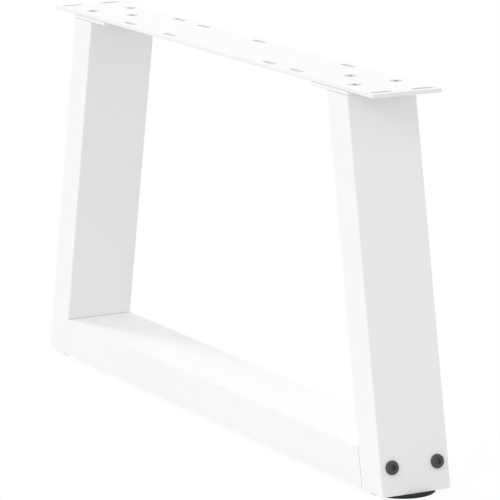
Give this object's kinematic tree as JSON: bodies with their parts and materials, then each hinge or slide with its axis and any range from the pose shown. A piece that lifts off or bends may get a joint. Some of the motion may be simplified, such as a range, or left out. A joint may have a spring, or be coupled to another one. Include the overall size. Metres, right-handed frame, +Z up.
{
  "type": "trestle table leg",
  "caption": "Trapezoid trestle leg for a low table: slotted steel top plate on leaning box-section uprights joined by a bottom rail, standing on levelling feet.",
  "frame": {"origin": "on the floor, under the middle of the leg", "axes": "+X along the leg to its right end, +Y across the leg to its far side, +Z up"},
  "size_m": [0.7608, 0.08, 0.4079],
  "materials": {
    "white_paint": "white powder coat, satin, with a fine orange peel",
    "zinc_plate": "bright zinc plate",
    "black_oxide": "black oxide, satin",
    "black_plastic": "black moulded plastic, matt"
  },
  "bodies": {
    "frame": {"top_plate": "white_paint", "bottom_rail": "white_paint", "left_flange": "white_paint", "right_flange": "white_paint", "left_upright": "white_paint", "right_upright": "white_paint", "left_rail_end_plate": "white_paint", "right_rail_end_plate": "white_paint", "left_foot_plate": "white_paint", "right_foot_plate": "white_paint", "left_rail_nuts": "zinc_plate", "right_rail_nuts": "zinc_plate", "left_foot_nut": "zinc_plate", "right_foot_nut": "zinc_plate", "left_plate_screws": "zinc_plate", "right_plate_screws": "zinc_plate", "left_rail_bolts": "black_oxide", "right_rail_bolts": "black_oxide"},
    "left_foot": {"left_foot_pad": "black_plastic", "left_foot_stud": "zinc_plate"},
    "right_foot": {"right_foot_pad": "black_plastic", "right_foot_stud": "zinc_plate"}
  },
  "joints": [
    {"name": "left_foot_travel", "type": "slide", "parent": "frame", "child": "left_foot", "axis": [0, 0, -1], "range_m": [0, 0.01]},
    {"name": "right_foot_travel", "type": "slide", "parent": "frame", "child": "right_foot", "axis": [0, 0, -1], "range_m": [0, 0.01]}
  ]
}
